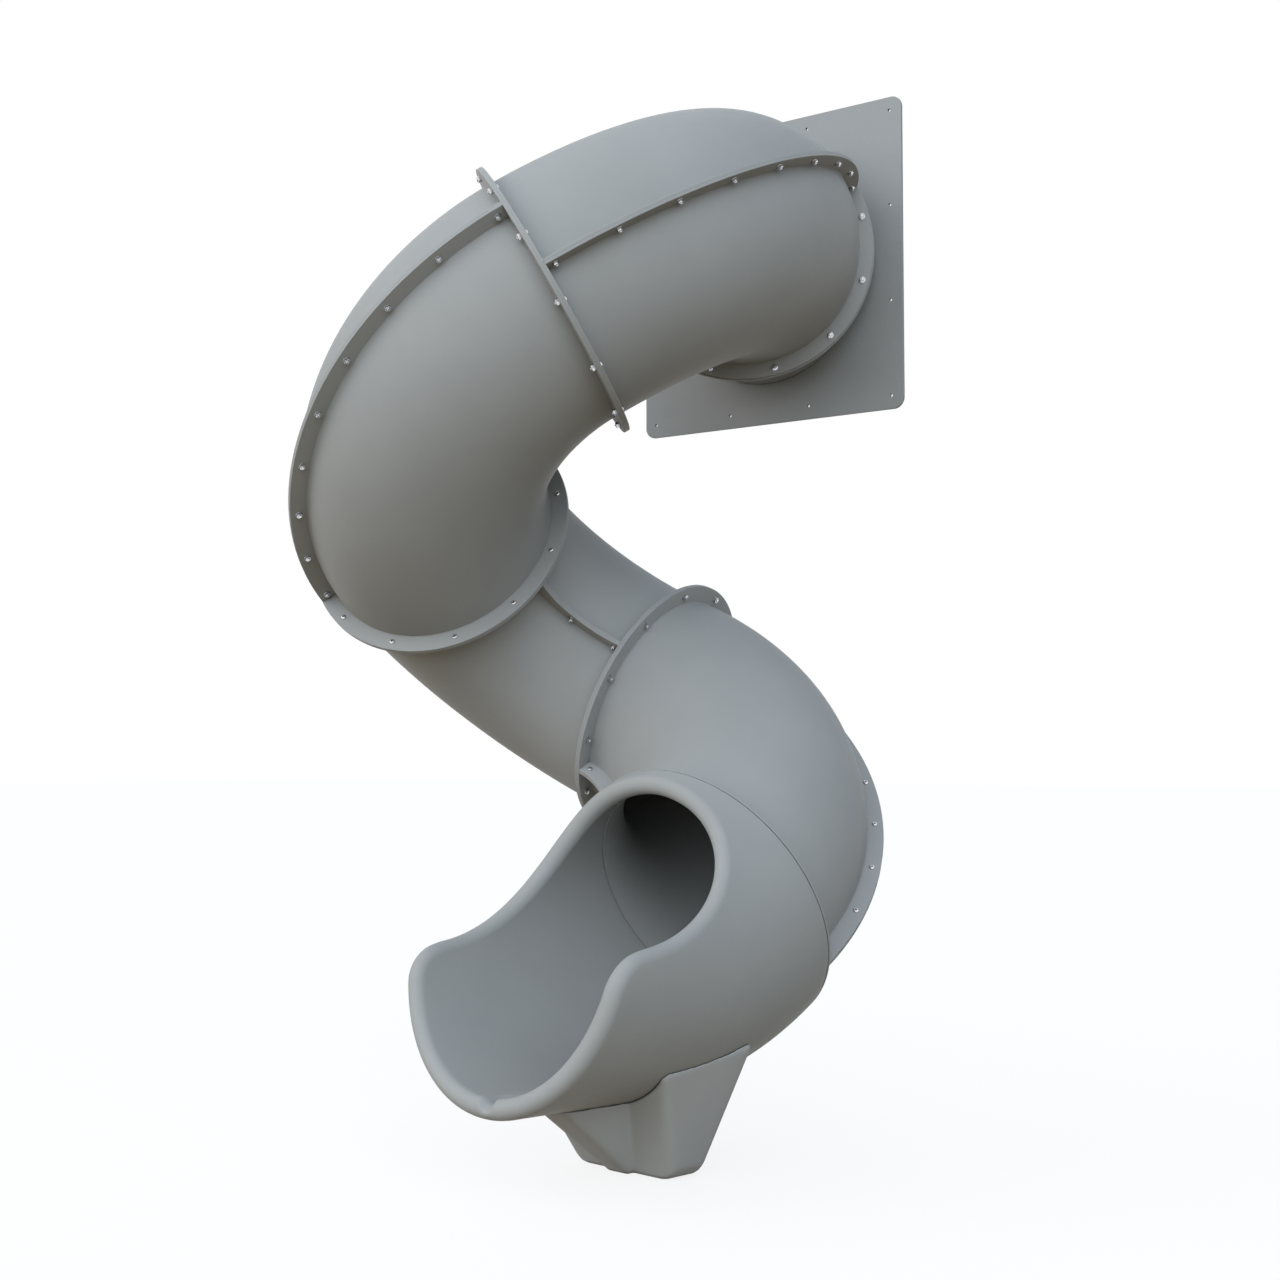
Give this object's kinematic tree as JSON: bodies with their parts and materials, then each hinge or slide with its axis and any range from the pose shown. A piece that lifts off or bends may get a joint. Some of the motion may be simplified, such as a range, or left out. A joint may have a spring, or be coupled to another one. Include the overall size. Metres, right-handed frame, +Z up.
{
  "type": "tube slide",
  "caption": "Spiral playground tube slide: square entry panel, flanged half-shell elbows bolted together and a scooped double-wall exit standing on a foot.",
  "frame": {"origin": "middle of the exit foot's base, on the ground", "axes": "+Z up; +Y square to the entry panel, into the tower it is fixed to; +X to the right for someone facing the panel from the slide's side"},
  "size_m": [1.828, 1.8308, 3.3576],
  "materials": {
    "shell_plastic": "satin",
    "panel_plastic": "satin",
    "zinc_steel": "satin",
    "brass": "satin"
  },
  "bodies": {
    "root": {"entry_panel": "panel_plastic", "entry_bend": "shell_plastic", "entry_screws": "zinc_steel", "elbow_1_upper": "shell_plastic", "elbow_1_lower": "shell_plastic", "elbow_2_upper": "shell_plastic", "elbow_2_lower": "shell_plastic", "elbow_3_upper": "shell_plastic", "elbow_3_lower": "shell_plastic", "elbow_4_upper": "shell_plastic", "elbow_4_lower": "shell_plastic", "exit_chute": "shell_plastic", "exit_foot": "shell_plastic", "joint_1_bolts": "zinc_steel", "joint_1_nuts": "zinc_steel", "joint_2_bolts": "zinc_steel", "joint_2_nuts": "zinc_steel", "joint_3_bolts": "zinc_steel", "joint_3_nuts": "zinc_steel", "joint_4_bolts": "zinc_steel", "joint_4_nuts": "zinc_steel", "exit_joint_bolts": "zinc_steel", "exit_joint_inserts": "brass", "seam_1_bolts": "zinc_steel", "seam_1_nuts": "zinc_steel", "seam_2_bolts": "zinc_steel", "seam_2_nuts": "zinc_steel", "seam_3_bolts": "zinc_steel", "seam_3_nuts": "zinc_steel", "seam_4_bolts": "zinc_steel", "seam_4_nuts": "zinc_steel", "foot_bolts": "zinc_steel", "foot_inserts": "brass"}
  },
  "joints": []
}
